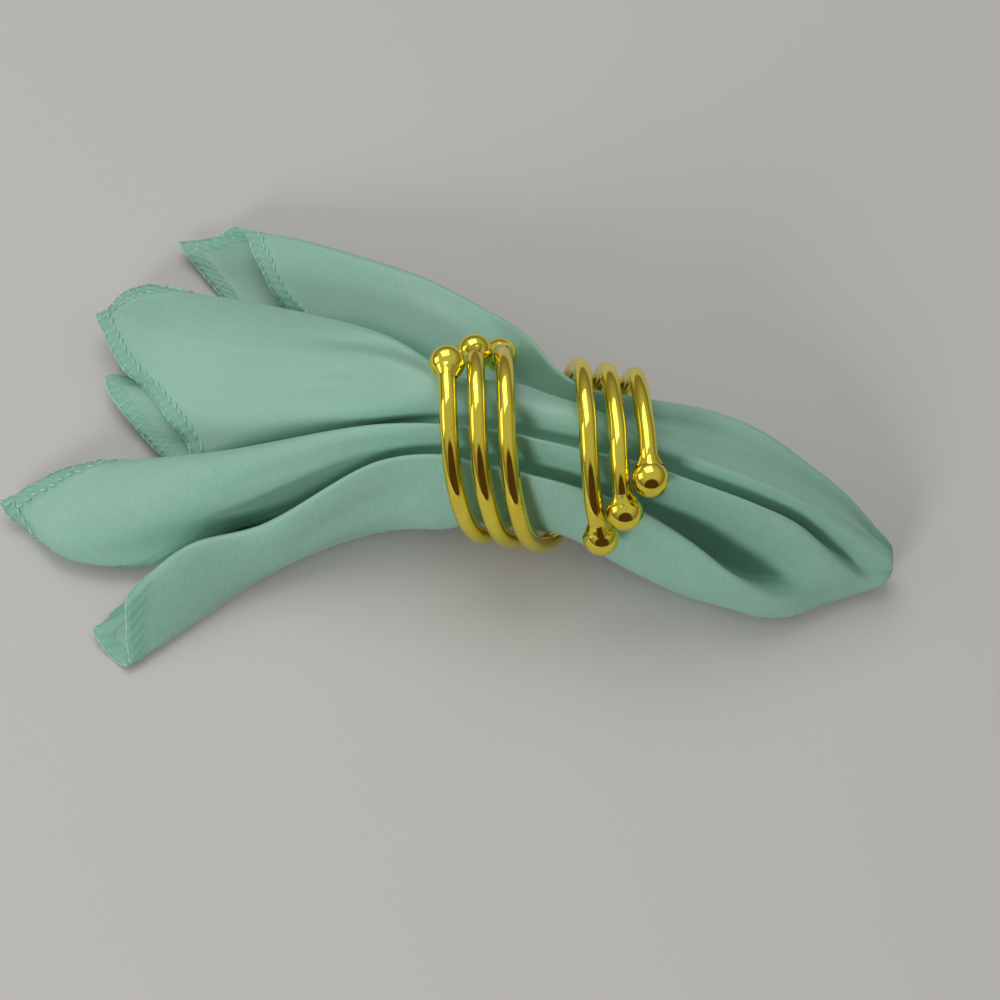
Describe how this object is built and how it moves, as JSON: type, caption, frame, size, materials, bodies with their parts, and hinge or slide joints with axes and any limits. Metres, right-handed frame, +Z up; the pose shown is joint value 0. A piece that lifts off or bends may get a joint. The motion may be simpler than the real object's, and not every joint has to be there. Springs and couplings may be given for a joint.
{
  "type": "napkin in a ring",
  "caption": "Satin dinner napkin pinched at its middle and drawn through a wrapped gold wire ring with ball ends, its four corners fanned out.",
  "frame": {"origin": "middle of the underside of the whole object's box, on the surface it rests on", "axes": "+X along the ring's axis towards the pinched, closed end of the cloth, -X towards its four loose corners, +Z up"},
  "size_m": [0.2066, 0.121, 0.0458],
  "materials": {
    "satin": "mint green polyester satin with a soft sheen and an overlocked hem",
    "gold": "polished bright yellow gold plating on round wire"
  },
  "bodies": {
    "root": {"napkin": "satin", "wire_1": "gold", "wire_2": "gold", "wire_3": "gold", "ball_1_left": "gold", "ball_1_right": "gold", "ball_2_left": "gold", "ball_2_right": "gold", "ball_3_left": "gold", "ball_3_right": "gold"}
  },
  "joints": []
}
